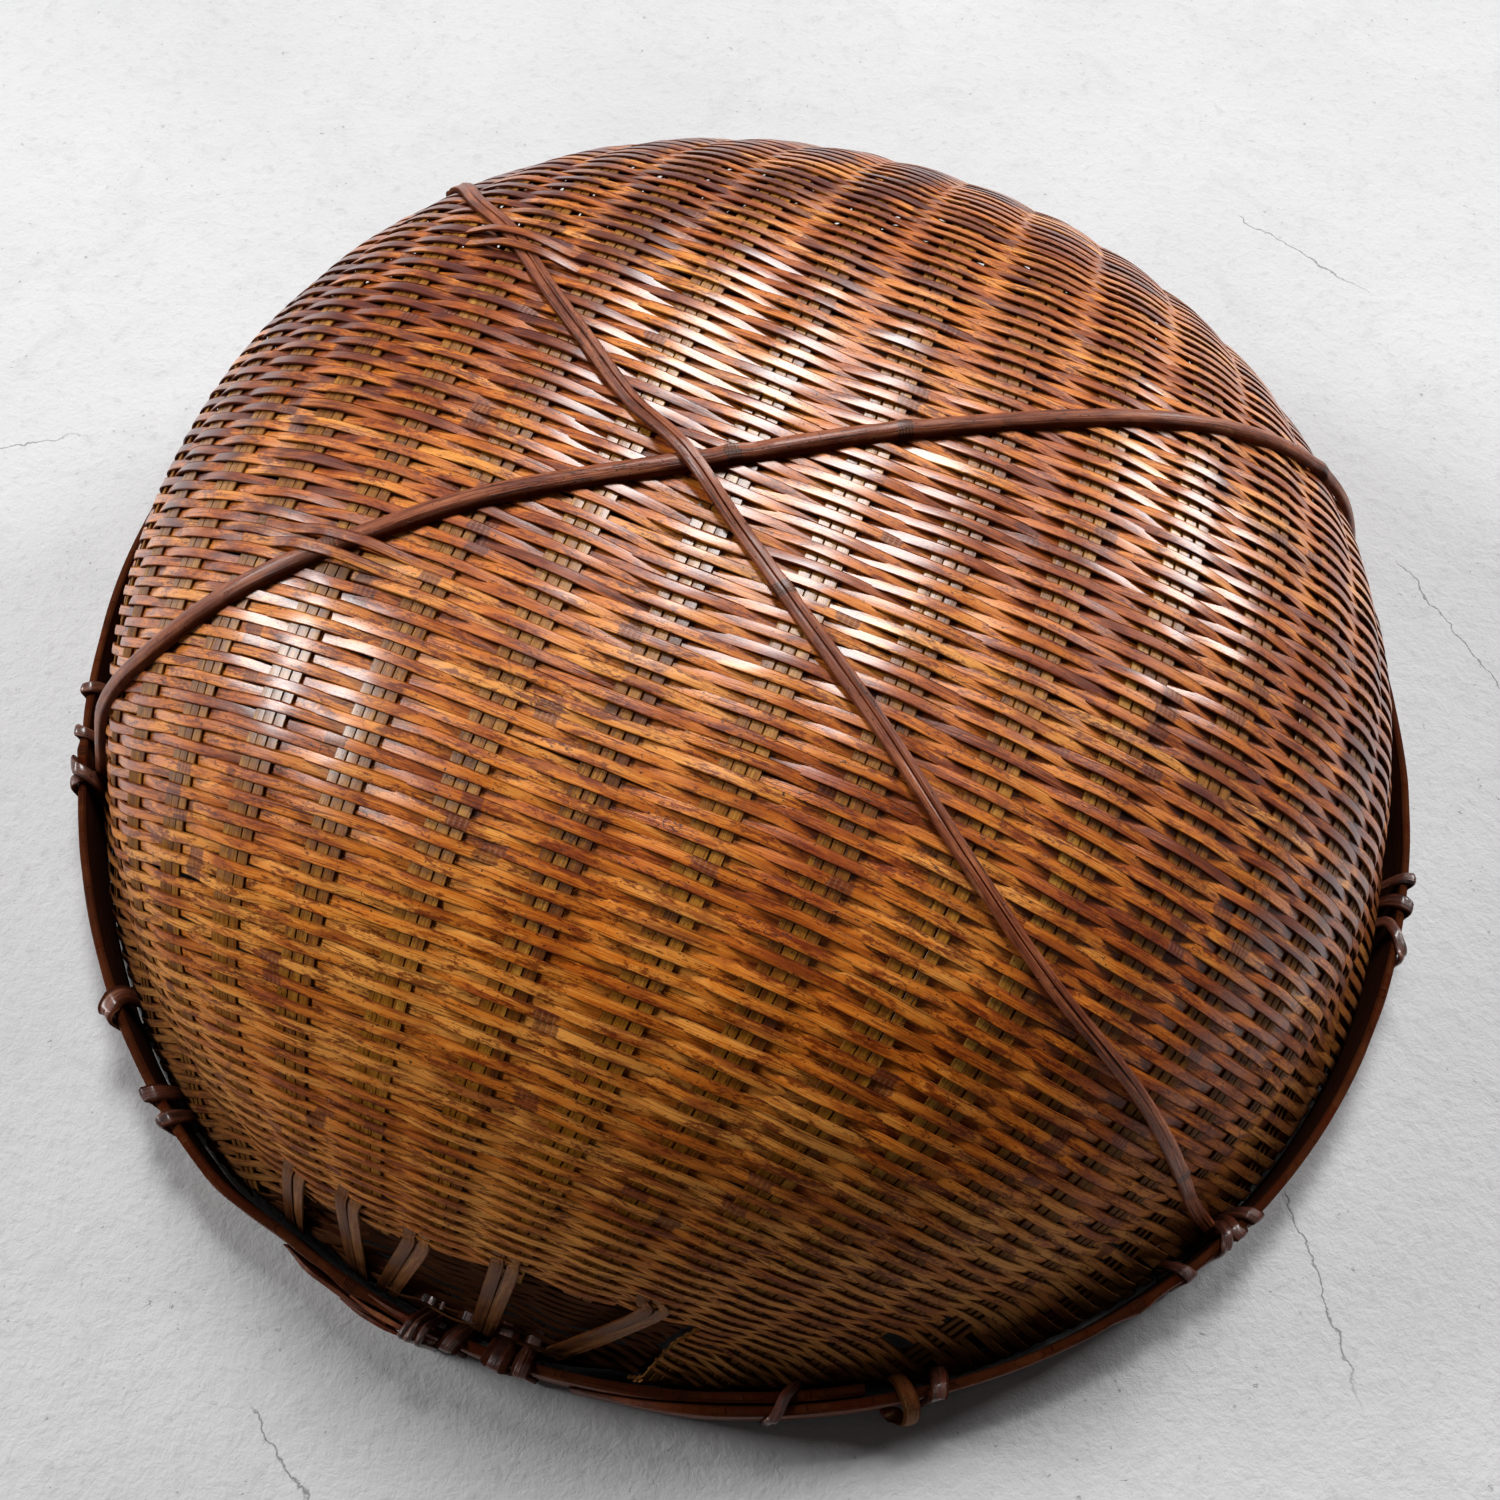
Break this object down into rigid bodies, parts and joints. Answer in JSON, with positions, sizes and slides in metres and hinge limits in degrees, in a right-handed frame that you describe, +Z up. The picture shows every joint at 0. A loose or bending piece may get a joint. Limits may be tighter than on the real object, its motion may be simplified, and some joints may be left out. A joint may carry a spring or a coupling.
{
  "type": "bamboo basket",
  "caption": "Shallow round woven bamboo basket (zaru), mouth down, with a banded rim, rattan lashings and crossed split sticks over the dome, for draining and drying food.",
  "frame": {"origin": "on the floor below the middle of the rim; the basket stands mouth down", "axes": "+Z up from the floor to the crown; -Y towards the worn front edge of the rim; +X to the right as seen from the front"},
  "size_m": [0.5175, 0.5169, 0.1833],
  "materials": {
    "weave": "aged lacquered split bamboo, satin",
    "hoop": "aged bamboo band, reddish brown, satin",
    "stick": "split bamboo stick, dark brown, satin",
    "rattan": "aged rattan strip, dark brown",
    "warp": "worn bamboo strip, greyish brown"
  },
  "bodies": {
    "root": {"woven_shell": "weave", "outer_hoop": "hoop", "inner_band": "hoop", "hoop_splint": "hoop", "splint_binding": "rattan", "stick_a": "stick", "stick_b": "stick", "weft_over_stick_a_1": "weave", "weft_over_stick_a_2": "weave", "weft_over_stick_b_1": "weave", "weft_over_stick_b_2": "weave", "bare_warp_1_left": "warp", "bare_warp_1_right": "warp", "bare_warp_2_left": "warp", "bare_warp_2_right": "warp", "bare_warp_3_left": "warp", "bare_warp_3_right": "warp", "bare_warp_4_left": "warp", "bare_warp_4_right": "warp", "bare_warp_5_left": "warp", "bare_warp_5_right": "warp", "lashing_front_1": "rattan", "lashing_front_2": "rattan", "lashing_front_3": "rattan", "lashing_front_4": "rattan", "lashing_front_5": "rattan", "lashing_right_1": "rattan", "lashing_right_2": "rattan", "lashing_right_3": "rattan", "lashing_left_1": "rattan", "lashing_left_2": "rattan", "lashing_left_3": "rattan", "lashing_back_1": "rattan", "lashing_back_2": "rattan", "lashing_back_3": "rattan", "knot_stick_a_front_turn_1": "rattan", "knot_stick_a_front_turn_2": "rattan", "knot_stick_a_front_turn_3": "rattan", "knot_stick_a_front_strap": "rattan", "knot_stick_a_back_turn_1": "rattan", "knot_stick_a_back_turn_2": "rattan", "knot_stick_a_back_strap": "rattan", "knot_stick_b_left_turn_1": "rattan", "knot_stick_b_left_turn_2": "rattan", "knot_stick_b_left_turn_3": "rattan", "knot_stick_b_left_strap": "rattan", "knot_stick_b_right_turn_1": "rattan", "knot_stick_b_right_turn_2": "rattan", "knot_stick_b_right_strap": "rattan", "loose_curl": "rattan"}
  },
  "joints": []
}
